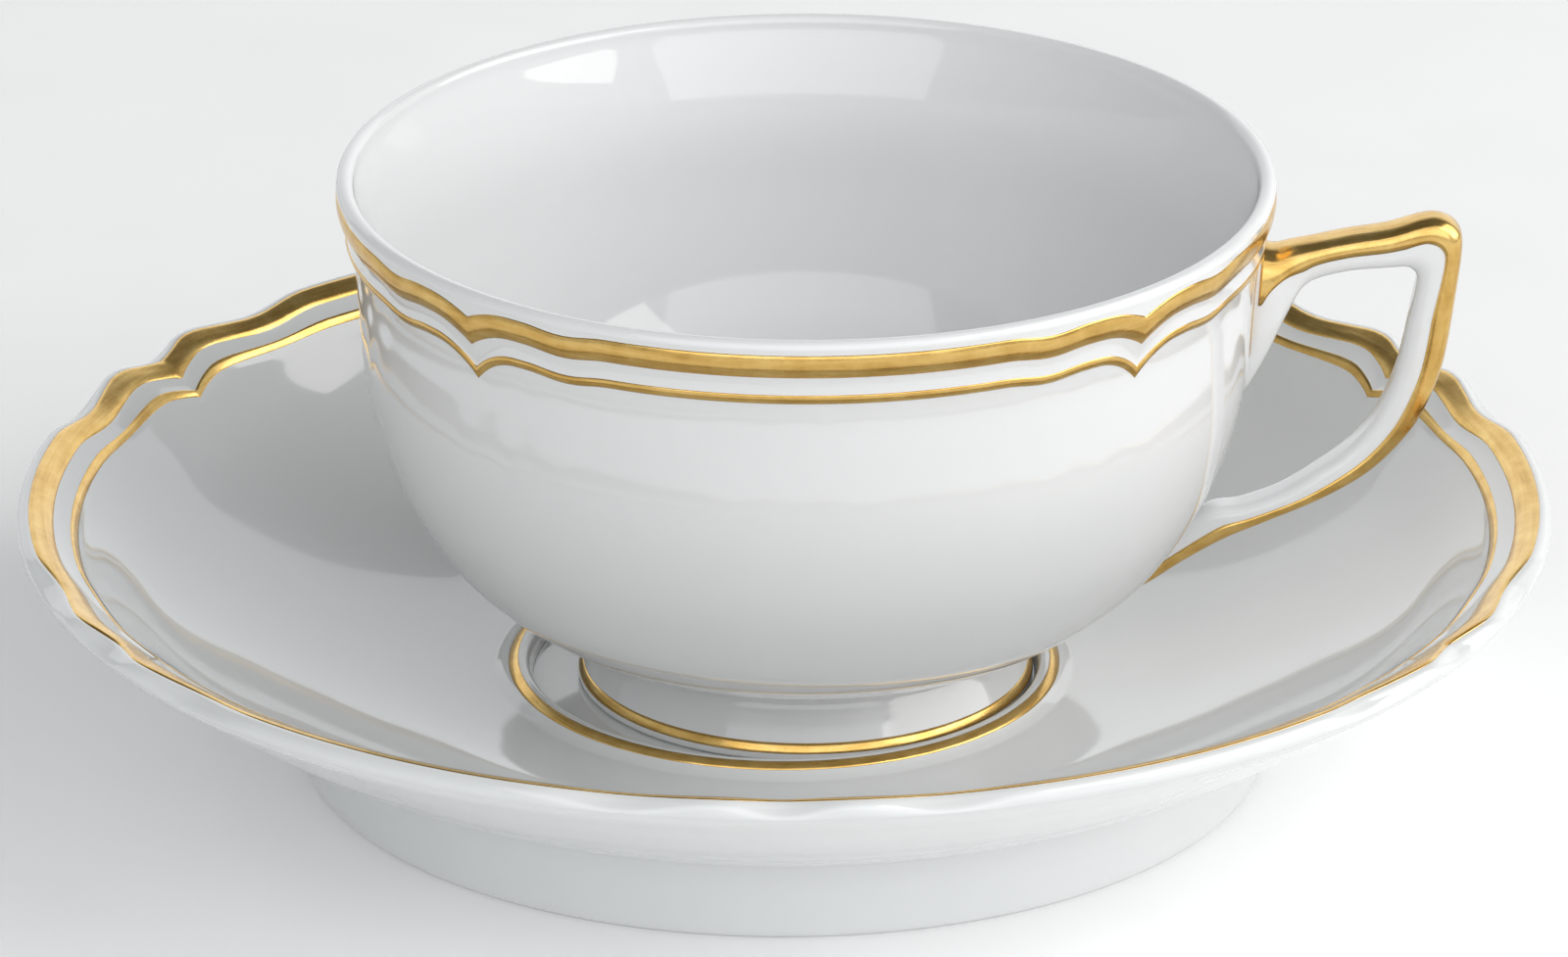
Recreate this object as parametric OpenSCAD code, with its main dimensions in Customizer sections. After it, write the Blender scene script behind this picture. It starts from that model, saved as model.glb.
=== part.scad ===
// Footed porcelain teacup on its lobed saucer, in millimetres.
// Z is up and z = 0 is the table. The origin is the centre of the saucer's foot.
// The handle points along +X. The cup stands in the well a little towards its handle.

/* [Saucer] */
// Radius of the saucer at the middle of a wide lobe
saucer_r = 77.5; // [70:0.5:90]
// Height of the saucer's rim above the table
saucer_h = 26.8; // [20:0.1:34]
// Number of lobes round the saucer's rim
saucer_lobes = 6; // [4:1:10]
// Depth of the pointed notch between two lobes
saucer_notch = 1.3; // [0:0.1:3]
// Depth of the hollow on each side of a notch
saucer_hollow = 1; // [0:0.1:3]
// Outer radius of the saucer's foot ring
saucer_foot_r = 49.6; // [40:0.5:60]
// Width of the foot ring's flat resting face
saucer_foot_face = 3.2; // [2:0.2:6]
// Height of the floor of the well, where the cup stands
well_z = 7.3; // [5:0.1:10]
// Inner radius of the raised ring round the well
well_r = 25.7; // [24:0.1:30]

/* [Cup] */
// Outer radius of the cup's rim
cup_r = 47; // [40:0.5:55]
// Height of the rim above the cup's own foot
cup_h = 54.4; // [45:0.5:65]
// Shift of the cup from the saucer's centre, towards the handle
cup_shift = 2.2; // [0:0.1:2.2]
// Thickness of the cup's wall
cup_wall = 2.2; // [1.6:0.1:3.5]
// Radius of the foot ring where it stands in the well
cup_foot_r = 23.1; // [18:0.1:23.1]
// Gap between the cup's foot and the floor of the well
stand_gap = 0.1; // [0.05:0.05:0.5]
// Number of lobes in the cup's gilded borders
cup_lobes = 4; // [3:1:8]

/* [Handle] */
// Half of the handle's width across Y along its bars
handle_half_w = 2.5; // [2:0.1:4]
// Half of its width where it meets the wall
handle_root_half_w = 3.7; // [2.5:0.1:6]
// How far the gilding wraps from the back onto the sides
gilding_wrap = 2.3; // [0.5:0.1:3]

/* [Gilding] */
// Thickness of a gilded layer above the glaze
gilt = 0.15; // [0.1:0.05:0.4]
// Width of the gold band on the saucer
saucer_band_w = 2.5; // [1:0.1:4]
// Width of the thin gold line inside that band
saucer_line_w = 0.8; // [0.5:0.05:2]
// Height of the gold band on the cup
cup_band_h = 2.45; // [1:0.1:4]
// Height of the thin gold line under it
cup_line_h = 1.0; // [0.5:0.05:2]

/* [Hidden] */
$fn = 96;
// How deep one fired-on layer or luted piece sits in the next
bite = 0.06;
saucer_steps = 24 * saucer_lobes;
cup_steps = 30 * cup_lobes;
cup_z = well_z + stand_gap;
white = [0.94, 0.94, 0.93];
gold = [0.8, 0.6, 0.25];

// ---- curves ----

// Point at t on the curve through b and c, steered by a and d (Catmull-Rom).
function cr_point(a, b, c, d, t) =
    0.5 * (2 * b + (c - a) * t + (2 * a - 5 * b + 4 * c - d) * t * t
    + (3 * b - a - 3 * c + d) * t * t * t);

// Smooth curve through the points p, with n steps between neighbours.
function smooth(p, n) =
    let (last = len(p) - 1)
    concat(
        [for (i = [0 : last - 1])
            for (k = [0 : n - 1])
                cr_point(p[max(i - 1, 0)], p[i], p[i + 1], p[min(i + 2, last)], k / n)],
        [p[last]]
    );

// Angle in degrees from the nearest notch, for n evenly spaced notches.
function from_notch(a, n) =
    let (pitch = 360 / n, m = a - pitch * floor(a / pitch))
    min(m, pitch - m);

function bump(a, centre, half) =
    let (d = abs(a - centre) / half)
    d < 1 ? pow(cos(90 * d), 2) : 0;

function ease(t) =
    let (c = min(max(t, 0), 1))
    c * c * (3 - 2 * c);

function reversed(p) = [for (i = [len(p) - 1 : -1 : 0]) p[i]];

// ---- skins over rows of points ----

// Two triangles for each cell of a grid of rows, all rows with m points.
function cells(row, next, m) =
    [for (j = [0 : m - 1])
        for (tri = [
            [row * m + j, next * m + j, next * m + (j + 1) % m],
            [row * m + j, next * m + (j + 1) % m, row * m + (j + 1) % m]
        ]) tri];

// Closed loop of closed rows, such as a border that goes right round.
module loop_skin(rows) {
    m = len(rows[0]);
    n = len(rows);
    polyhedron(
        points = [for (r = rows) for (p = r) p],
        faces = [for (i = [0 : n - 1]) for (t = cells(i, (i + 1) % n, m)) t],
        convexity = 10
    );
}

// Row of closed sections with a cap at each end, such as a handle.
module bar_skin(rows) {
    m = len(rows[0]);
    n = len(rows);
    polyhedron(
        points = [for (r = rows) for (p = r) p],
        faces = concat(
            [for (i = [0 : n - 2]) for (t = cells(i, i + 1, m)) t],
            [[for (j = [0 : m - 1]) j]],
            [[for (j = [m - 1 : -1 : 0]) (n - 1) * m + j]]
        ),
        convexity = 10
    );
}

// ---- saucer ----

// Inward shift at angle a and radius s: a notch, a small swelling, a hollow, then a wide lobe.
// The notches are pointed on the slope and rounded on the lip. The hollows fade out just
// inside the gold line, and the notches further down the slope.
function saucer_dip(a, s) =
    let (
        d = from_notch(a, saucer_lobes),
        on_lip = ease((s - saucer_r + 1.9) / 0.9),
        pointed = pow(max(0, 1 - d / 4.2), 1.6) * ease((s - 65) / 9),
        notch = pointed * (1 - on_lip) + 0.8 * bump(d, 0, 4.6) * on_lip
    )
    saucer_notch * notch
    + (saucer_hollow * bump(d, 12, 6.3) - 0.25 * bump(d, 5, 3)) * ease((s - 69) / 7.5);

// Point over radius s and height z of a wide lobe. Where a lobe pulls in it also drops, by
// more on the slope than at the lip, and share says how much of that this point takes.
function saucer_point(a, s, z, share = 1) =
    let (
        shift = saucer_dip(a, s) * share,
        drop = 0.5 + 0.4 * ease((76 - s) / 4),
        r = s - shift
    )
    [r * sin(a), -r * cos(a), z - drop * shift];

// Upper surface, from the well out to the rim, through a wide lobe.
// It is steepest under the gold line and flattens out towards the lip.
slope_top = concat(
    smooth([
        [29.2, well_z + 0.75], [34, well_z + 0.85], [40, well_z + 1.6], [48, well_z + 3.6],
        [56, well_z + 6.6], [64, well_z + 10.7], [saucer_r - 7.5, saucer_h - 4.05]
    ], 2),
    [
        [saucer_r - 6.2, saucer_h - 2.8], [saucer_r - 5.3, saucer_h - 1.95],
        [saucer_r - 3.7, saucer_h - 1.1], [saucer_r - 2.3, saucer_h - 0.6],
        [saucer_r - 1.5, saucer_h - 0.2], [saucer_r - 1.05, saucer_h]
    ]
);
well_top = [
    [0.01, well_z], [well_r - 0.5, well_z], [well_r, well_z + 0.3], [well_r + 0.3, well_z + 1.6],
    [well_r + 0.9, well_z + 1.95], [well_r + 1.6, well_z + 1.75], [well_r + 2.7, well_z + 1.05]
];
top_table = concat(well_top, slope_top);
// Rolled lip. Its top follows the lobes and its underside is round.
rim_edge = [for (a = [60 : -30 : -30])
    [saucer_r - 1.05 + 1.05 * cos(a), saucer_h - 1.05 + 1.05 * sin(a),
        min(1, max(0, 0.5 + 0.75 * sin(a)))]];
// Lower surface, from the lip in to the centre.
under = [
    [76.2, 24.1], [73, 21.8], [68, 18.3], [62, 14.2], [56, 10.9], [50.6, 8.5], [46, 5.9],
    [42, 4.6], [34, 4.2], [0.01, 4.1]
];
plate_section = concat(
    [for (p = top_table) [p[0], p[1], 1]],
    rim_edge,
    [for (p = under) [p[0], p[1], 0]]
);

// Height of the upper surface over radius s of a wide lobe.
function top_z(s) = lookup(s, top_table);

// Gilded border on the upper slope, from radius s0 out to s1 of a wide lobe.
module saucer_border(s0, s1, n, crown) {
    over = [for (i = [0 : n]) let (s = s0 + (s1 - s0) * i / n)
        [s, top_z(s) + gilt + crown * sin(180 * i / n)]];
    below = [for (i = [n : -1 : 0]) let (s = s0 + (s1 - s0) * i / n) [s, top_z(s) - bite]];
    loop_skin([for (k = [0 : saucer_steps - 1])
        [for (p = concat(over, below)) saucer_point(360 * k / saucer_steps, p[0], p[1])]]);
}

module saucer_plate() {
    color(white)
    loop_skin([for (k = [0 : saucer_steps - 1])
        [for (p = plate_section) saucer_point(360 * k / saucer_steps, p[0], p[1], p[2])]]);
}

module saucer_foot_ring() {
    inner = saucer_foot_r - 0.5 - saucer_foot_face;
    color(white)
    rotate_extrude()
    polygon([
        [inner, 0], [saucer_foot_r - 0.5, 0], [saucer_foot_r, 0.6], [saucer_foot_r - 0.1, 2.4],
        [saucer_foot_r + 0.1, 2.8], [saucer_foot_r + 0.1, 5.2], [saucer_foot_r + 0.4, 5.6],
        [saucer_foot_r + 0.6, 8.2], [50.4, 8.6], [46, 5.96], [inner - 1.2, 5.3],
        [inner - 0.9, 3], [inner - 0.5, 0.5]
    ]);
}

module saucer_gold_band() {
    color(gold)
    saucer_border(saucer_r - 1.2 - saucer_band_w, saucer_r - 1.2, 3, 0.1);
}

module saucer_gold_line() {
    color(gold)
    saucer_border(saucer_r - 6.2, saucer_r - 6.2 + saucer_line_w, 2, 0.05);
}

module saucer_well_gold_line() {
    s0 = well_r + 1.35;
    color(gold)
    rotate_extrude()
    polygon([
        [s0, top_z(s0) - bite], [s0 + 1, top_z(s0 + 1) - bite], [s0 + 1, top_z(s0 + 1) + gilt],
        [s0 + 0.5, top_z(s0 + 0.5) + gilt + 0.05], [s0, top_z(s0) + gilt]
    ]);
}

// ---- cup ----

// Outer wall of the bowl: radius and height above the cup's foot, from the foot up to the lip.
wall = smooth([
    [19.6, 6.6], [23.5, 7.35], [28.2, 9.0], [33.1, 12.1], [37.1, 16.1], [40.8, 22.1],
    [43.1, 28.1], [44.4, 34.1], [44.9, 41.1], [45.3, 45.4], [46.2, 49.2],
    [cup_r - 0.12, cup_h - 1.4]
], 4);
lip = [for (a = [-10 : 20 : 190]) [cup_r - 0.85 + 0.85 * cos(a), cup_h - 0.85 + 0.85 * sin(a)]];
inside = smooth([
    [cup_r - 1.85, cup_h - 1.6], [45.95 - cup_wall, 48.6], [44.85 - cup_wall, 43.4],
    [44.3 - cup_wall, 35.6], [42.6 - cup_wall, 28.4], [39.9 - cup_wall, 22.4],
    [35.9 - cup_wall, 17.2], [31.2 - cup_wall, 13.7], [25 - cup_wall, 11.3], [14, 10.1], [0, 9.9]
], 3);
wall_table = [for (p = concat(wall, [[cup_r, cup_h - 0.85]])) [p[1], p[0]]];

// Radius of the bowl's outer wall at height h above the cup's foot.
function wall_r(h) = lookup(h, wall_table);

// Downward shift of a gilded border: a point at each notch and a shallow sag beside it.
function cup_dip(a, depth) =
    let (d = from_notch(a - 45, cup_lobes))
    depth * pow(max(0, 1 - d / 7), 2) + 0.45 * bump(d, 14.5, 6);

// Gilded border round the wall between heights h0 and h1, with its own notch depths.
module cup_border(h0, h1, dip0, dip1, n, crown) {
    loop_skin([for (k = [0 : cup_steps - 1])
        let (
            a = 360 * k / cup_steps,
            low = h0 - cup_dip(a, dip0),
            high = h1 - cup_dip(a, dip1)
        )
        concat(
            [for (i = [0 : n]) let (h = low + (high - low) * i / n)
                cup_point(a, wall_r(h) + gilt + crown * sin(180 * i / n), h)],
            [for (i = [n : -1 : 0]) let (h = low + (high - low) * i / n)
                cup_point(a, wall_r(h) - bite, h)]
        )]);
}

function cup_point(a, r, h) = [cup_shift + r * sin(a), -r * cos(a), cup_z + h];

module cup_place() {
    translate([cup_shift, 0, cup_z])
    children();
}

module cup_bowl() {
    color(white)
    cup_place()
    rotate_extrude()
    polygon(concat([[0, 6.6]], wall, lip, inside));
}

module cup_foot_ring() {
    curve = smooth([
        [cup_foot_r, 1.0], [22.2, 2.4], [21.0, 4.2], [20.2, 5.6], [20.5, 6.6 + bite]
    ], 3);
    color(white)
    cup_place()
    rotate_extrude()
    polygon(concat([[cup_foot_r - 2.3, 0], [cup_foot_r - 0.3, 0], [cup_foot_r, 0.3]], curve,
        [[18.6, 6.6 + bite], [17.2, 6.6 + bite], [18.9, 5.2], [20.1, 0.8]]));
}

module cup_gold_band() {
    top = cup_h - 1.35;
    color(gold)
    cup_border(top - cup_band_h, top, 1.95, 1.35, 3, 0.12);
}

module cup_gold_line() {
    top = cup_h - 5.75;
    color(gold)
    cup_border(top - cup_line_h, top, 2.8, 2.5, 2, 0.05);
}

module cup_foot_gold_line() {
    color(gold)
    cup_place()
    rotate_extrude()
    polygon([
        [cup_foot_r - bite, 0.75], [cup_foot_r + gilt, 0.8], [cup_foot_r + gilt, 1.1],
        [22.45 + gilt, 2.0], [22.38, 2.0]
    ]);
}

// ---- handle ----

// Each station is [back x, back z, inner x, inner z, half width], in the cup's own frame:
// from the root under the rim, out along the top bar, round the corner and down to the tail.
stations = [
    [43.6, 46.7, 43.4, 30.5, 1.0], [45.6, 46.5, 44.6, 32.0, 1.0], [47.1, 46.3, 46.4, 35.4, 0.75],
    [48.8, 46.7, 48.3, 39.6, 0.3], [50.9, 47.1, 50.1, 42.7, 0.05], [54.2, 47.8, 53.8, 44.0, 0],
    [58.3, 48.5, 57.8, 44.4, 0], [61.6, 49.5, 60.0, 44.5, 0], [63.5, 49.6, 60.7, 44.2, 0],
    [65.2, 48.6, 61.1, 43.7, 0], [65.7, 46.6, 61.2, 42.7, 0], [65.1, 41.0, 60.5, 39.0, 0],
    [64.2, 34.9, 59.7, 34.6, 0], [63.1, 31.2, 58.7, 31.4, 0], [61.4, 27.6, 57.1, 28.1, 0],
    [58.9, 24.4, 54.8, 25.2, 0], [56.1, 21.9, 51.8, 22.8, 0], [51.9, 19.4, 47.8, 20.2, -0.1],
    [46.4, 16.9, 43.8, 18.7, -0.2], [42.3, 15.0, 40.6, 18.2, -0.3], [38.2, 12.5, 35.9, 15.2, -0.6],
    [34.0, 9.6, 31.4, 12.2, -1.0], [29.3, 7.7, 27.8, 9.9, -1.4], [26.2, 7.8, 25.6, 9.0, -1.8]
];
spine = smooth(stations, 3);

// Half width: the listed figure scales from the bars' width up to the root's.
function half_w(s) =
    handle_half_w + (s > 0 ? s * (handle_root_half_w - handle_half_w) : s);

// Point of a rounded section at angle f, where 0 is the back of the handle and 180 its inside.
// grow lifts it off the section.
function section_point(st, f, grow) =
    let (
        back = [st[0], st[1]],
        front = [st[2], st[3]],
        mid = (back + front) / 2,
        out = (back - front) / norm(back - front),
        t = norm(back - front) / 2 + grow,
        w = half_w(st[4]) + grow,
        u = t * sign(cos(f)) * pow(abs(cos(f)), 0.62),
        v = w * sign(sin(f)) * pow(abs(sin(f)), 0.62)
    )
    [cup_shift + mid[0] + out[0] * u, v, cup_z + mid[1] + out[1] * u];

// Angle at which the gilding ends, so that it wraps the same distance onto each side.
function wrap_angle(st) =
    let (t = norm([st[0] - st[2], st[1] - st[3]]) / 2)
    acos(pow(max(0.02, (t - gilding_wrap) / t), 1 / 0.62));

module cup_handle() {
    color(white)
    difference() {
        bar_skin([for (st = spine) [for (f = [0 : 18 : 342]) section_point(st, f, 0)]]);
        cup_place()
        rotate_extrude()
        polygon(concat([[0, 6.6]], [for (p = wall) [p[0] - bite, p[1]]],
            [[40, cup_h + 2], [0, cup_h + 2]]));
    }
}

module handle_gilding() {
    gilded = [for (i = [6 : len(spine) - 7]) spine[i]];
    n = 8;
    color(gold)
    bar_skin([for (st = gilded)
        let (w = wrap_angle(st))
        concat(
            [for (k = [-n : 2 : n]) section_point(st, w * k / n, gilt)],
            [for (k = [n : -2 : -n]) section_point(st, w * k / n, -bite)]
        )]);
}

// Gold line where the handle's root meets the wall, down both sides and under it.
module handle_root_gold_line() {
    path = smooth([
        [3.9, 45.6], [4.1, 43], [3.9, 39], [3.2, 35.5], [1.9, 32.6], [0, 31.3],
        [-1.9, 32.6], [-3.2, 35.5], [-3.9, 39], [-4.1, 43], [-3.9, 45.6]
    ], 3);
    color(gold)
    bar_skin([for (i = [0 : len(path) - 1])
        let (
            before = path[max(i - 1, 0)],
            after = path[min(i + 1, len(path) - 1)],
            along = (after - before) / norm(after - before),
            side = [-along[1], along[0]] * 0.45
        )
        [for (q = [[path[i] - side, gilt], [path[i] + side, gilt],
                [path[i] + side, -bite], [path[i] - side, -bite]])
            root_point(q[0][0], q[0][1], q[1])]]);
}

function root_point(y, h, grow) =
    let (r = wall_r(h) + grow)
    [cup_shift + sqrt(r * r - y * y), y, cup_z + h];

saucer_plate();
saucer_foot_ring();
saucer_gold_band();
saucer_gold_line();
saucer_well_gold_line();
cup_bowl();
cup_foot_ring();
cup_handle();
cup_gold_band();
cup_gold_line();
cup_foot_gold_line();
handle_gilding();
handle_root_gold_line();
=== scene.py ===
"""Looks of a gilded porcelain teacup standing in the well of its lobed saucer.

Lengths are in millimetres until a mesh is made. Z is up, z = 0 is the table and the handle
points along +X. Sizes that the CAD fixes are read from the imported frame.
"""

import math

import bmesh
import bpy
import numpy as np
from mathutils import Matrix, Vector


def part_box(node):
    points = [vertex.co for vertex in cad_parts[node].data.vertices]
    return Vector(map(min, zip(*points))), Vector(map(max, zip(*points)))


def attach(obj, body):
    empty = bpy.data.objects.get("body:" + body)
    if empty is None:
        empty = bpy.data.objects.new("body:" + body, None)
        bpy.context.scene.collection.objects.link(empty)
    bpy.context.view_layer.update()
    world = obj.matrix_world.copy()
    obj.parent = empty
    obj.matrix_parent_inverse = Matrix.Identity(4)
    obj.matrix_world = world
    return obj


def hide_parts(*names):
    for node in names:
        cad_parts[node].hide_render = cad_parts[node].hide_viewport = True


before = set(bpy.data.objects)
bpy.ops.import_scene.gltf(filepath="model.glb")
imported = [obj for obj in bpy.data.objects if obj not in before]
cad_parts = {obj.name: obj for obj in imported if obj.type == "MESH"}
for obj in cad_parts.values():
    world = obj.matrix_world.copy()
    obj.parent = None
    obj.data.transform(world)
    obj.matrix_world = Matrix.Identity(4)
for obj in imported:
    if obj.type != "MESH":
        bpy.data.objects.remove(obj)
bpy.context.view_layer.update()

MM = 0.001

# ---- driving sizes, read from the CAD nodes ----

plate_high = np.array(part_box("saucer_plate")[1]) / MM
ring_high = np.array(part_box("saucer_foot_ring")[1]) / MM
bowl_low, bowl_high = (np.array(c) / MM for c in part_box("cup_bowl"))
foot_low, foot_high = (np.array(c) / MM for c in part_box("cup_foot_ring"))

SAUCER_R = plate_high[0]
SAUCER_H = plate_high[2]
CUP_SHIFT = (bowl_high[0] + bowl_low[0]) / 2
CUP_Z = foot_low[2]
CUP_R = (bowl_high[0] - bowl_low[0]) / 2
CUP_H = bowl_high[2] - CUP_Z
CUP_FOOT_R = (foot_high[0] - foot_low[0]) / 2
WELL_Z = CUP_Z - 0.1
# The well's floor, the foot of the raised ring round it, and the radii of the two rounded lips.
WELL_R = 25.7
WELL_EDGE = 29.4
SAUCER_LIP = 1.05
CUP_LIP = 0.85

# How far the gilding stands off the glaze and reaches into it, and where its borders lie: by
# height on the cup, and by distance from the axis on the saucer.
GILT = 0.05
GILT_BITE = 0.04
CUP_BAND = (CUP_H - 3.8, CUP_H - 1.35)
CUP_LINE = (CUP_H - 6.75, CUP_H - 5.75)
SAUCER_BAND = (SAUCER_R - 3.7, SAUCER_R - 1.2)
SAUCER_LINE = (SAUCER_R - 6.2, SAUCER_R - 5.4)
WELL_LINE = (WELL_R + 1.35, WELL_R + 2.35)
CUP_FOOT_LINE = (0.75, 1.8)
CUP_LOBES = 4
CUP_FIRST_NOTCH = 45
SAUCER_LOBES = 6


# ---- curves ----

def smooth(points, n):
    """Catmull-Rom curve through the points, with n steps between neighbours."""
    p = np.array(points, float)
    last = len(p) - 1
    out = []
    for i in range(last):
        a, b, c, d = p[max(i - 1, 0)], p[i], p[i + 1], p[min(i + 2, last)]
        for t in np.arange(n) / n:
            out.append(0.5 * (2 * b + (c - a) * t + (2 * a - 5 * b + 4 * c - d) * t ** 2
                              + (3 * b - a - 3 * c + d) * t ** 3))
    out.append(p[last])
    return np.array(out)


def from_notch(angle, lobes):
    """Degrees from the nearest of some evenly spaced notches."""
    pitch = 360 / lobes
    m = angle % pitch
    return min(m, pitch - m)


def bump(value, centre, half):
    d = abs(value - centre) / half
    return math.cos(math.pi / 2 * d) ** 2 if d < 1 else 0.0


def ease(t):
    c = min(max(t, 0.0), 1.0)
    return c * c * (3 - 2 * c)


def lobed_angles(lobes, steps, first, power=1.3):
    """Angles round the axis, closer together near each notch."""
    half = 180 / lobes
    near = [half * (k / steps) ** power for k in range(steps)]
    far = [2 * half - half * (k / steps) ** power for k in range(steps, 0, -1)]
    return [first + 2 * half * i + a for i in range(lobes) for a in near + far]


def crest(t, sharpness):
    """Height of a moulded rib across its width, t from 0 to 1."""
    return 1 - abs(2 * t - 1) ** sharpness if 0 < t < 1 else 0.0


# ---- meshes ----

def new_piece(name, verts, faces, material, body, replaced, slot):
    mesh = bpy.data.meshes.new(name)
    mesh.from_pydata([tuple(v) for v in verts], [], faces)
    bm = bmesh.new()
    bm.from_mesh(mesh)
    bmesh.ops.recalc_face_normals(bm, faces=bm.faces)
    bm.to_mesh(mesh)
    bm.free()
    mesh.polygons.foreach_set("use_smooth", [True] * len(mesh.polygons))
    mesh.materials.append(material)
    obj = bpy.data.objects.new(name, mesh)
    bpy.context.scene.collection.objects.link(obj)
    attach(obj, body)
    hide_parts(replaced)
    return obj


def turned(grid):
    """Vertices and faces of columns that go round the axis. Each column runs from a point on
    the axis to another, and those two points are shared by every column."""
    columns, rows = grid.shape[:2]
    verts = list(grid[:, 1:-1].reshape(-1, 3))
    inner = rows - 2
    start, end = len(verts), len(verts) + 1
    verts += [grid[0, 0], grid[0, -1]]
    faces = []
    for i in range(columns):
        a, b = i * inner, (i + 1) % columns * inner
        faces += [(a + j, b + j, b + j + 1, a + j + 1) for j in range(inner - 1)]
        faces += [(start, b, a), (a + inner - 1, b + inner - 1, end)]
    return np.array(verts) * MM, faces


def hoop(grid):
    """Vertices and faces of closed sections that go right round."""
    columns, rows = grid.shape[:2]
    faces = []
    for i in range(columns):
        a, b = i * rows, (i + 1) % columns * rows
        faces += [(a + j, b + j, b + (j + 1) % rows, a + (j + 1) % rows) for j in range(rows)]
    return grid.reshape(-1, 3) * MM, faces


def bar(grid):
    """Vertices and faces of closed sections in a row, with an end cap at each end."""
    columns, rows = grid.shape[:2]
    verts = list(grid.reshape(-1, 3))
    faces = []
    for i in range(columns - 1):
        a, b = i * rows, (i + 1) * rows
        faces += [(a + j, b + j, b + (j + 1) % rows, a + (j + 1) % rows) for j in range(rows)]
    for end, base in ((0, 0), (columns - 1, (columns - 1) * rows)):
        verts.append(grid[end].mean(axis=0))
        centre = len(verts) - 1
        faces += [(base + j, base + (j + 1) % rows, centre) for j in range(rows)]
    return np.array(verts) * MM, faces


# ---- saucer ----

SLOPE = smooth([
    (WELL_EDGE, WELL_Z + 0.75), (34, WELL_Z + 0.85), (40, WELL_Z + 1.6), (48, WELL_Z + 3.6),
    (56, WELL_Z + 6.6), (64, WELL_Z + 10.7), (SAUCER_R - 7.5, SAUCER_H - 4.05),
    (SAUCER_R - 6.2, SAUCER_H - 2.8), (SAUCER_R - 5.3, SAUCER_H - 1.95),
    (SAUCER_R - 3.7, SAUCER_H - 1.1), (SAUCER_R - 2.3, SAUCER_H - 0.6),
    (SAUCER_R - 1.5, SAUCER_H - 0.2), (SAUCER_R - SAUCER_LIP, SAUCER_H),
], 8)
WELL = smooth([
    (0, WELL_Z), (12, WELL_Z), (WELL_R - 1, WELL_Z), (WELL_R - 0.2, WELL_Z + 0.15),
    (WELL_R + 0.1, WELL_Z + 1.2), (WELL_R + 0.45, WELL_Z + 1.75), (WELL_R + 1.0, WELL_Z + 1.9),
    (WELL_R + 1.9, WELL_Z + 1.7), (WELL_R + 2.7, WELL_Z + 1.1), (WELL_EDGE, WELL_Z + 0.75),
], 4)
# Rolled lip: distance from the axis, height, and the share of each lobe that it follows, which
# fades to nothing at the round underside.
RIM_ARC = [
    (SAUCER_R - SAUCER_LIP + SAUCER_LIP * math.cos(math.radians(a)),
     SAUCER_H - SAUCER_LIP + SAUCER_LIP * math.sin(math.radians(a)),
     min(1, max(0, 0.5 + 0.75 * math.sin(math.radians(a)))))
    for a in range(78, -31, -12)
]
UNDERSIDE = smooth([
    (SAUCER_R - 0.45, SAUCER_H - 1.85), (76.2, 24.1), (73, 21.8), (68, 18.3), (62, 14.2),
    (56, 10.9), (50.6, 8.5), (46, 5.9), (42, 4.6), (34, 4.2), (0, 4.1),
], 5)


def slope_z(s):
    table = SLOPE if s > WELL_EDGE else WELL
    return float(np.interp(s, table[:, 0], table[:, 1]))


def saucer_dip(angle, s):
    """A notch, a small swelling, a hollow, then a wide lobe. The notches are pointed on the
    slope and rounded on the lip. The hollows fade out just inside the gold line, and the
    notches further down the slope."""
    d = from_notch(angle, SAUCER_LOBES)
    on_lip = ease((s - SAUCER_R + 1.9) / 0.9)
    pointed = max(0.0, 1 - d / 4.2) ** 1.6 * ease((s - 65) / 9)
    notch = pointed * (1 - on_lip) + 0.8 * bump(d, 0, 4.6) * on_lip
    wave = bump(d, 12, 6.3) - 0.25 * bump(d, 5, 3)
    return 1.3 * notch + wave * ease((s - 69) / 7.5)


def saucer_relief(s):
    """Moulded ribs under the band and the line, with a shallow channel between them."""
    band = (s - SAUCER_BAND[0]) / (SAUCER_BAND[1] - SAUCER_BAND[0])
    line = (s - SAUCER_LINE[0]) / (SAUCER_LINE[1] - SAUCER_LINE[0])
    gap = (s - SAUCER_LINE[1]) / (SAUCER_BAND[0] - SAUCER_LINE[1])
    return 0.30 * crest(band, 2.4) + 0.12 * crest(line, 2) - 0.10 * crest(gap, 2)


def saucer_point(angle, s, z, share=1):
    """Where a lobe pulls in it also drops, by more on the slope than at the lip, and share
    says how much of that this point takes."""
    shift = saucer_dip(angle, s) * share
    drop = 0.5 + 0.4 * ease((76 - s) / 4)
    r = s - shift
    a = math.radians(angle)
    return (r * math.sin(a), -r * math.cos(a), z - drop * shift)


def saucer_grid(section):
    angles = lobed_angles(SAUCER_LOBES, 30, 0)
    return np.array([[saucer_point(a, *p) for p in section] for a in angles])


# The slope is meshed more finely outside this radius, for the relief under the borders.
RELIEF_FROM = 70.6


def saucer_plate(material):
    rim_rows = [(s, slope_z(s) + saucer_relief(s))
                for s in np.linspace(RELIEF_FROM, SAUCER_R - SAUCER_LIP, 46)]
    slope_rows = [tuple(p) for p in SLOPE if WELL_EDGE + 0.1 < p[0] < RELIEF_FROM - 0.3]
    section = ([tuple(p) for p in WELL] + slope_rows + rim_rows + RIM_ARC
               + [(s, z, 0) for s, z in UNDERSIDE])
    new_piece("saucer_plate_porcelain", *turned(saucer_grid(section)), material,
              "saucer", "saucer_plate", "saucer_glaze")


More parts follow.
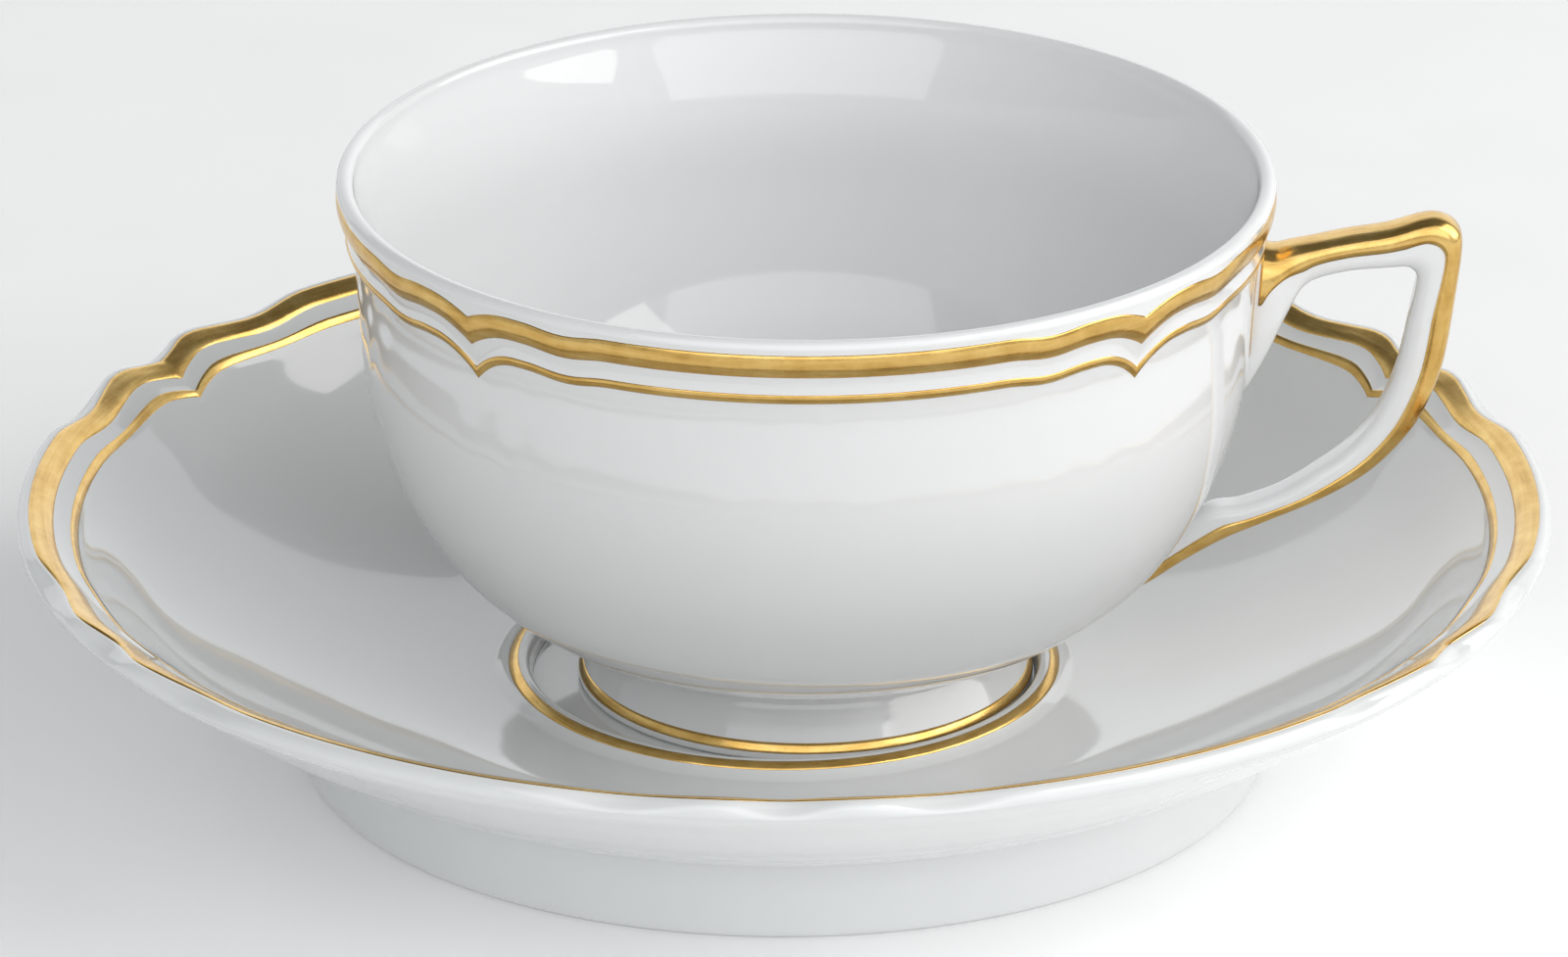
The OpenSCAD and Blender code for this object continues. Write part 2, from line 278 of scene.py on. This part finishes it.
def saucer_border(name, span, rows, material, node):
    s = np.linspace(*span, rows)
    fade = [min(1.0, 6 * min(k, rows - 1 - k) / (rows - 1)) for k in range(rows)]
    over = [(v, slope_z(v) + saucer_relief(v) + GILT * (0.3 + 0.7 * f))
            for v, f in zip(s, fade)]
    below = [(v, slope_z(v) + saucer_relief(v) - GILT_BITE) for v in s[::-1]]
    new_piece(name, *hoop(saucer_grid(over + below)), material,
              "saucer", node, "saucer_gold")


def ring_of(section, shift, lift, steps=288):
    """A closed section turned round an upright axis."""
    angles = [math.tau * k / steps for k in range(steps)]
    return np.array([[(shift + r * math.sin(a), -r * math.cos(a), lift + z)
                      for r, z in section] for a in angles])


def saucer_foot_ring(material):
    r = ring_high[0] - 1.2
    section = smooth([
        (r - 3.7, 0.0), (r - 0.8, 0.0), (r - 0.25, 0.12), (r - 0.02, 0.6), (r, 2.4),
        (r + 0.1, 4.4), (r + 0.28, 6.2), (r + 0.75, 7.7), (r + 1.5, 8.75), (r + 2, 9.5),
        (r + 1, 9.3), (46, 6.3), (r - 4.9, 5.2), (r - 4.6, 3), (r - 4.2, 0.5), (r - 3.7, 0.0),
    ], 6)[:-1]
    new_piece("saucer_foot_ring_porcelain", *hoop(ring_of(section, 0, 0)), material,
              "saucer", "saucer_foot_ring", "saucer_glaze")


def saucer_well_line(material):
    s = np.linspace(*WELL_LINE, 7)
    section = ([(v, slope_z(v) + GILT) for v in s]
               + [(v, slope_z(v) - GILT_BITE) for v in s[::-1]])
    new_piece("saucer_well_gold", *hoop(ring_of(section, 0, 0)), material,
              "saucer", "saucer_well_gold_line", "saucer_gold")


# ---- cup ----

WALL = smooth([
    (19.6, 6.6), (23.5, 7.35), (28.2, 9.0), (33.1, 12.1), (37.1, 16.1), (40.8, 22.1),
    (43.1, 28.1), (44.4, 34.1), (44.9, 41.1), (45.3, 45.4), (46.2, 49.2),
    (CUP_R - 0.12, CUP_H - 1.4), (CUP_R, CUP_H - CUP_LIP),
], 8)
LIP = [(CUP_R - CUP_LIP + CUP_LIP * math.cos(math.radians(a)),
        CUP_H - CUP_LIP + CUP_LIP * math.sin(math.radians(a))) for a in range(0, 191, 14)]
INSIDE = smooth([
    (CUP_R - 1.85, CUP_H - 1.6), (43.75, 48.6), (42.65, 43.4), (42.1, 35.6), (40.4, 28.4),
    (37.7, 22.4), (33.7, 17.2), (29.0, 13.7), (22.8, 11.3), (14, 10.1), (0, 9.9),
], 6)


def wall_r(h):
    return float(np.interp(h, WALL[:, 1], WALL[:, 0]))


def cup_dip(angle, h):
    """How far the borders sag at this angle: most at the thin line, none at the lip."""
    d = from_notch(angle - CUP_FIRST_NOTCH, CUP_LOBES)
    fade, lip = CUP_LINE[0] - 7, CUP_H - CUP_LIP
    depth = float(np.interp(h, (fade, *CUP_LINE, *CUP_BAND, lip), (0, 2.8, 2.5, 1.95, 1.35, 0)))
    sag = float(np.interp(h, (fade, CUP_LINE[0], CUP_BAND[1], lip), (0, 0.45, 0.45, 0)))
    return depth * max(0.0, 1 - d / 7) ** 2 + sag * bump(d, 14.5, 6)


def cup_relief(h):
    """Moulded ribs under the band and the line, with a shallow channel between them."""
    band = (h - CUP_BAND[0]) / (CUP_BAND[1] - CUP_BAND[0])
    line = (h - CUP_LINE[0]) / (CUP_LINE[1] - CUP_LINE[0])
    gap = (h - CUP_LINE[1]) / (CUP_BAND[0] - CUP_LINE[1])
    return 0.28 * crest(band, 2) + 0.12 * crest(line, 2) - 0.08 * crest(gap, 2)


def cup_point(angle, r, h):
    a = math.radians(angle)
    return (CUP_SHIFT + r * math.sin(a), -r * math.cos(a), CUP_Z + h)


def wall_point(angle, h, lift=0.0):
    """Point on the outer wall, where h is the height before the borders sag."""
    sagged = h - cup_dip(angle, h)
    return cup_point(angle, wall_r(sagged) + cup_relief(h) + lift, sagged)


def cup_bowl(material):
    heights = ([p[1] for p in WALL if p[1] < CUP_LINE[0] - 8]
               + list(np.linspace(CUP_LINE[0] - 7.6, CUP_LINE[0] - 0.2, 16))
               + list(np.linspace(CUP_LINE[0], CUP_BAND[1], 52))
               + list(np.linspace(CUP_BAND[1] + 0.1, CUP_H - 0.95, 4)))
    columns = []
    for angle in lobed_angles(CUP_LOBES, 40, CUP_FIRST_NOTCH):
        column = [cup_point(angle, 0, 6.6)]
        column += [wall_point(angle, h) for h in heights]
        column += [cup_point(angle, r, h) for r, h in LIP]
        column += [cup_point(angle, r, h) for r, h in INSIDE]
        columns.append(column)
    new_piece("cup_bowl_porcelain", *turned(np.array(columns)), material,
              "cup", "cup_bowl", "cup_glaze")


def cup_border(name, span, rows, material, node):
    h = np.linspace(*span, rows)
    fade = [min(1.0, 6 * min(k, rows - 1 - k) / (rows - 1)) for k in range(rows)]
    columns = []
    for angle in lobed_angles(CUP_LOBES, 40, CUP_FIRST_NOTCH):
        over = [wall_point(angle, v, GILT * (0.3 + 0.7 * f)) for v, f in zip(h, fade)]
        below = [wall_point(angle, v, -GILT_BITE) for v in h[::-1]]
        columns.append(over + below)
    new_piece(name, *hoop(np.array(columns)), material, "cup", node, "cup_gold")


def cup_foot_ring(material):
    r = CUP_FOOT_R
    section = smooth([
        (r - 2.3, 0.0), (r - 0.45, 0.0), (r - 0.1, 0.12), (r, 0.5), (r - 0.1, 1.1),
        (22.2, 2.4), (21.2, 4.0), (20.6, 5.2), (20.65, 6.0), (21.3, 6.65), (22.5, 7.3),
        (20.5, 7.5), (17.2, 7.0), (18.9, 5.2), (20.1, 0.8), (r - 2.3, 0.0),
    ], 6)[:-1]
    new_piece("cup_foot_ring_porcelain", *hoop(ring_of(section, CUP_SHIFT, CUP_Z)), material,
              "cup", "cup_foot_ring", "cup_glaze")


def cup_foot_line(material):
    r = CUP_FOOT_R
    outline = smooth([(r, 0.5), (r - 0.1, 1.1), (22.2, 2.4)], 6)
    band = [p for p in outline if CUP_FOOT_LINE[0] < p[1] < CUP_FOOT_LINE[1]]
    section = ([(x + GILT, z) for x, z in band] + [(x - GILT_BITE, z) for x, z in band[::-1]])
    new_piece("cup_foot_gold", *hoop(ring_of(section, CUP_SHIFT, CUP_Z)), material,
              "cup", "cup_foot_gold_line", "cup_gold")


# ---- handle ----

# Stations along the handle, in the cup's own frame, each with its back point, its inner point
# and its half width: from the root under the rim, round the corner and down to the tail.
STATIONS = smooth([
    (43.6, 46.7, 43.4, 30.5, 3.7), (45.6, 46.5, 44.6, 32.0, 3.7), (47.1, 46.3, 46.4, 35.4, 3.4),
    (48.8, 46.7, 48.3, 39.6, 2.86), (50.9, 47.1, 50.1, 42.7, 2.56), (54.2, 47.8, 53.8, 44.0, 2.5),
    (58.3, 48.5, 57.8, 44.4, 2.5), (61.6, 49.5, 60.0, 44.5, 2.5), (63.5, 49.6, 60.7, 44.2, 2.5),
    (65.2, 48.6, 61.1, 43.7, 2.5), (65.7, 46.6, 61.2, 42.7, 2.5), (65.1, 41.0, 60.5, 39.0, 2.5),
    (64.2, 34.9, 59.7, 34.6, 2.5), (63.1, 31.2, 58.7, 31.4, 2.5), (61.4, 27.6, 57.1, 28.1, 2.5),
    (58.9, 24.4, 54.8, 25.2, 2.5), (56.1, 21.9, 51.8, 22.8, 2.5), (51.9, 19.4, 47.8, 20.2, 2.4),
    (46.4, 16.9, 43.8, 18.7, 2.3), (42.3, 15.0, 40.6, 18.2, 2.2), (38.2, 12.5, 35.9, 15.2, 1.9),
    (34.0, 9.6, 31.4, 12.2, 1.5), (29.3, 7.7, 27.8, 9.9, 1.1), (26.2, 7.8, 25.6, 9.0, 0.7),
], 6)
# The section is between an ellipse (1) and a box (0).
ROUNDING = 0.62
# The gilding starts just outside the wall and stops before the tail sinks into the bowl.
GILDED = slice(6, -9)


def station_parts(station):
    back, front = station[0:2], station[2:4]
    across = back - front
    length = float(np.hypot(*across))
    return (back + front) / 2, across / length, length / 2


def handle_point(station, turn, lift):
    """Point of a rounded section: turn 0 is the handle's back, and 180 is its inside."""
    middle, outward, half_t = station_parts(station)
    a = math.radians(turn)
    u = math.copysign(abs(math.cos(a)) ** ROUNDING, math.cos(a)) * (half_t + lift)
    v = math.copysign(abs(math.sin(a)) ** ROUNDING, math.sin(a)) * (station[4] + lift)
    x, z = middle + outward * u
    return (CUP_SHIFT + x, v, CUP_Z + z)


def wrap_turn(station):
    """Where the gilding ends, so that it wraps a set distance onto each side: more near the
    wall, where it spreads onto the root, and less along the tail."""
    half_t = station_parts(station)[2]
    x, z = station[0:2]
    wrap = 2.4 + 2.8 * math.exp(-max(x - 46, 0) / 0.9) * ease((z - 40) / 4)
    wrap -= 1.1 * ease((22 - z) / 12)
    return math.degrees(math.acos(max(0.02, (half_t - wrap) / half_t) ** (1 / ROUNDING)))


def cup_handle(material):
    grid = [[handle_point(st, turn, 0) for turn in range(0, 360, 9)] for st in STATIONS]
    new_piece("cup_handle_porcelain", *bar(np.array(grid)), material,
              "cup", "cup_handle", "handle_glaze")


def handle_gilding(material):
    grid = []
    for st in STATIONS[GILDED]:
        reach = wrap_turn(st)
        turns = np.linspace(-reach, reach, 21)
        grid.append([handle_point(st, t, GILT) for t in turns]
                    + [handle_point(st, t, -GILT_BITE) for t in turns[::-1]])
    new_piece("handle_back_gold", *bar(np.array(grid)), material,
              "cup", "handle_gilding", "handle_gold")


def handle_root_line(material):
    """Gold line where the handle's root meets the wall, down both sides and under it."""
    path = smooth([
        (3.9, 45.6), (4.1, 43), (3.9, 39), (3.2, 35.5), (1.9, 32.6), (0, 31.3),
        (-1.9, 32.6), (-3.2, 35.5), (-3.9, 39), (-4.1, 43), (-3.9, 45.6),
    ], 6)
    along = np.gradient(path, axis=0)
    along /= np.hypot(along[:, 0], along[:, 1])[:, None]
    grid = []
    for (y, h), (dy, dh) in zip(path, along):
        half = 0.36 + 0.4 * ease((h - 35) / 9)
        row = []
        for side, lift in ((-1, 0.0), (-0.5, 0.07), (0.5, 0.07), (1, 0.0),
                           (1, -0.06), (-1, -0.06)):
            py, ph = y - dh * half * side, h + dy * half * side
            r = wall_r(ph) + lift
            row.append((CUP_SHIFT + math.sqrt(r * r - py * py), py, CUP_Z + ph))
        grid.append(row)
    new_piece("handle_root_gold", *bar(np.array(grid)), material,
              "cup", "handle_root_gold_line", "handle_gold")


# ---- materials ----

class Nodes:
    """Short names for building one material's node tree."""

    def __init__(self, name):
        self.material = bpy.data.materials.new(name)
        self.material.use_nodes = True
        self.tree = self.material.node_tree
        self.shader = self.tree.nodes["Principled BSDF"]

    def add(self, kind, inputs=None, **settings):
        node = self.tree.nodes.new(kind)
        for key, value in settings.items():
            setattr(node, key, value)
        for key, value in (inputs or {}).items():
            if isinstance(value, bpy.types.NodeSocket):
                self.tree.links.new(value, node.inputs[key])
            else:
                node.inputs[key].default_value = value
        return node

    def math(self, operation, a, b):
        return self.add("ShaderNodeMath", {0: a, 1: b}, operation=operation).outputs[0]

    def noise(self, vector, scale, detail=3.0, roughness=0.5):
        return self.add("ShaderNodeTexNoise", {
            "Vector": vector, "Scale": scale, "Detail": detail, "Roughness": roughness,
        }).outputs["Fac"]

    def ramp(self, fac, stops):
        node = self.add("ShaderNodeValToRGB", {"Fac": fac})
        node.color_ramp.elements[0].position = stops[0][0]
        node.color_ramp.elements[0].color = stops[0][1]
        node.color_ramp.elements[1].position = stops[-1][0]
        node.color_ramp.elements[1].color = stops[-1][1]
        for position, colour in stops[1:-1]:
            node.color_ramp.elements.new(position).color = colour
        return node.outputs["Color"]

    def link(self, output, socket):
        self.tree.links.new(output, self.shader.inputs[socket])

    def bump(self, height, strength, distance, below=None):
        inputs = {"Height": height, "Strength": strength, "Distance": distance}
        if below is not None:
            inputs["Normal"] = below
        return self.add("ShaderNodeBump", inputs).outputs["Normal"]

    def place(self):
        return self.add("ShaderNodeTexCoord").outputs["Object"]


def porcelain(name, tint):
    """White glazed porcelain: a clear glossy glaze with faint clouding and a faint ripple."""
    n = Nodes(name)
    where = n.place()
    cloud = n.noise(where, 22.0, 4.0, 0.55)
    cool, warm = [c * 0.985 for c in tint], tint
    colour = n.ramp(cloud, [(0.35, (*cool, 1)), (0.65, (*warm, 1))])
    n.link(colour, "Base Color")
    gloss = n.noise(where, 60.0, 2.0)
    n.link(n.add("ShaderNodeMapRange", {
        "Value": gloss, "From Min": 0.3, "From Max": 0.7, "To Min": 0.045, "To Max": 0.085,
    }).outputs["Result"], "Roughness")
    ripple = n.noise(where, 95.0, 0.0)
    n.link(n.bump(ripple, 0.03, 0.0002), "Normal")
    n.shader.inputs["IOR"].default_value = 1.52
    n.shader.inputs["Coat Weight"].default_value = 0.35
    n.shader.inputs["Coat Roughness"].default_value = 0.03
    return n.material


def burnished_gold(name, streak):
    """Fired gold: satin, finely pitted, and streaked along the way it was brushed on."""
    n = Nodes(name)
    where = n.place()
    split = n.add("ShaderNodeSeparateXYZ", {"Vector": where})
    x, y, z = split.outputs
    if streak == "round":
        turn = n.math("ARCTAN2", x, y)
        reach = n.math("SQRT", n.math("ADD", n.math("MULTIPLY", x, x),
                                      n.math("MULTIPLY", y, y)), 0.0)
        line = n.add("ShaderNodeCombineXYZ", {
            "X": n.math("MULTIPLY", turn, 0.6), "Y": n.math("MULTIPLY", reach, 170.0),
            "Z": n.math("MULTIPLY", z, 170.0),
        }).outputs[0]
    else:
        line = n.add("ShaderNodeMapping", {"Vector": where, "Scale": (30.0, 260.0, 30.0)}
                     ).outputs[0]
    streaks = n.noise(line, 9.0, 5.0, 0.65)
    speckle = n.noise(where, 4200.0, 2.0, 0.6)
    patches = n.noise(where, 320.0, 3.0, 0.6)
    wear = n.add("ShaderNodeMix", {0: 0.45, 2: streaks, 3: patches}, data_type="FLOAT"
                 ).outputs[0]
    colour = n.ramp(wear, [
        (0.30, (0.50, 0.29, 0.07, 1)), (0.48, (0.68, 0.43, 0.13, 1)),
        (0.66, (0.82, 0.57, 0.21, 1)),
    ])
    n.link(colour, "Base Color")
    n.link(n.add("ShaderNodeMapRange", {
        "Value": n.math("ADD", n.math("MULTIPLY", speckle, 0.5), n.math("MULTIPLY", wear, 0.5)),
        "From Min": 0.3, "From Max": 0.7, "To Min": 0.12, "To Max": 0.26,
    }).outputs["Result"], "Roughness")
    grain = n.bump(speckle, 0.12, 0.00003)
    n.link(n.bump(streaks, 0.25, 0.00005, grain), "Normal")
    n.shader.inputs["Metallic"].default_value = 1.0
    return n.material


def table_top():
    n = Nodes("pale_table")
    where = n.place()
    grain = n.noise(where, 40.0, 4.0)
    n.link(n.ramp(grain, [(0.3, (0.94, 0.94, 0.94, 1)), (0.7, (0.965, 0.965, 0.965, 1))]),
           "Base Color")
    n.shader.inputs["Roughness"].default_value = 0.9
    n.shader.inputs["Specular IOR Level"].default_value = 0.1
    n.shader.inputs["Emission Color"].default_value = (1, 1, 1, 1)
    n.shader.inputs["Emission Strength"].default_value = 0.05
    return n.material


# ---- stage ----

def stage_floor():
    mesh = bpy.data.meshes.new("studio_floor")
    bm = bmesh.new()
    bmesh.ops.create_grid(bm, x_segments=24, y_segments=24, size=6.0)
    bm.to_mesh(mesh)
    bm.free()
    mesh.materials.append(table_top())
    floor = bpy.data.objects.new("studio_floor", mesh)
    bpy.context.scene.collection.objects.link(floor)


def softbox(name, place, target, width, height, power, colour=(1, 1, 1)):
    lamp = bpy.data.lights.new(name, "AREA")
    lamp.shape = "RECTANGLE"
    lamp.size = width
    lamp.size_y = height
    lamp.energy = power
    lamp.color = colour
    obj = bpy.data.objects.new(name, lamp)
    obj.location = place
    aim = Vector(target) - Vector(place)
    obj.rotation_euler = aim.to_track_quat("-Z", "Y").to_euler()
    bpy.context.scene.collection.objects.link(obj)


def studio():
    """A pale room, brighter to the right and darker overhead, with three soft boxes."""
    world = bpy.data.worlds.new("studio")
    world.use_nodes = True
    nodes, links = world.node_tree.nodes, world.node_tree.links
    sky = nodes["Background"]
    where = nodes.new("ShaderNodeTexCoord").outputs["Generated"]
    split = nodes.new("ShaderNodeSeparateXYZ")
    links.new(where, split.inputs[0])
    ceiling = nodes.new("ShaderNodeValToRGB")
    ceiling.color_ramp.elements[0].position = 0.50
    ceiling.color_ramp.elements[0].color = (0.95, 0.985, 1.0, 1)
    ceiling.color_ramp.elements[1].position = 0.70
    ceiling.color_ramp.elements[1].color = (0.26, 0.27, 0.27, 1)
    links.new(split.outputs["Z"], ceiling.inputs["Fac"])
    links.new(ceiling.outputs["Color"], sky.inputs["Color"])
    side = nodes.new("ShaderNodeVectorMath")
    side.operation = "DOT_PRODUCT"
    links.new(where, side.inputs[0])
    side.inputs[1].default_value = (0.94, -0.34, 0.0)
    level = nodes.new("ShaderNodeMapRange")
    level.inputs["From Min"].default_value = -0.7
    level.inputs["From Max"].default_value = 0.9
    level.inputs["To Min"].default_value = 0.58
    level.inputs["To Max"].default_value = 0.72
    links.new(side.outputs["Value"], level.inputs["Value"])
    links.new(level.outputs["Result"], sky.inputs["Strength"])
    bpy.context.scene.world = world
    bpy.context.scene.view_settings.view_transform = "Standard"
    centre = (0, 0, 0.03)
    softbox("key_right", (1.12, -0.20, 0.80), centre, 1.5, 1.1, 13.5, (1.0, 0.985, 0.96))
    softbox("backdrop", (0.0, 1.3, 0.42), (0, 0, 0.3), 2.4, 0.84, 3.8, (0.97, 0.985, 1.0))
    softbox("front_fill", (0.05, -1.30, 0.95), centre, 2.4, 1.7, 15.0, (0.98, 0.985, 1.0))


def photo_camera():
    """Long lens a metre away, looking down at the cup from the front."""
    lens = bpy.data.cameras.new("camera")
    lens.sensor_width = 36.0
    lens.lens = 244.8
    lens.clip_start = 0.05
    camera = bpy.data.objects.new("camera", lens)
    elevation = math.radians(22.35)
    distance = 1.0781
    target = Vector((0, 0, 0.0285))
    camera.location = target + distance * Vector((0, -math.cos(elevation), math.sin(elevation)))
    camera.rotation_euler = (target - camera.location).to_track_quat("-Z", "Y").to_euler()
    bpy.context.scene.collection.objects.link(camera)
    bpy.context.scene.camera = camera


# ---- build ----

saucer_white = porcelain("saucer_porcelain", (0.71, 0.72, 0.72))
cup_white = porcelain("cup_porcelain", (0.73, 0.735, 0.74))
border_gold = burnished_gold("border_gold", "round")
bar_gold = burnished_gold("handle_gold", "along")

saucer_plate(saucer_white)
saucer_foot_ring(saucer_white)
saucer_border("saucer_band_gold", SAUCER_BAND, 17, border_gold, "saucer_gold_band")
saucer_border("saucer_line_gold", SAUCER_LINE, 9, border_gold, "saucer_gold_line")
saucer_well_line(border_gold)
cup_bowl(cup_white)
cup_foot_ring(cup_white)
cup_border("cup_band_gold", CUP_BAND, 17, border_gold, "cup_gold_band")
cup_border("cup_line_gold", CUP_LINE, 9, border_gold, "cup_gold_line")
cup_foot_line(border_gold)
cup_handle(cup_white)
handle_gilding(bar_gold)
handle_root_line(bar_gold)

stage_floor()
studio()
photo_camera()
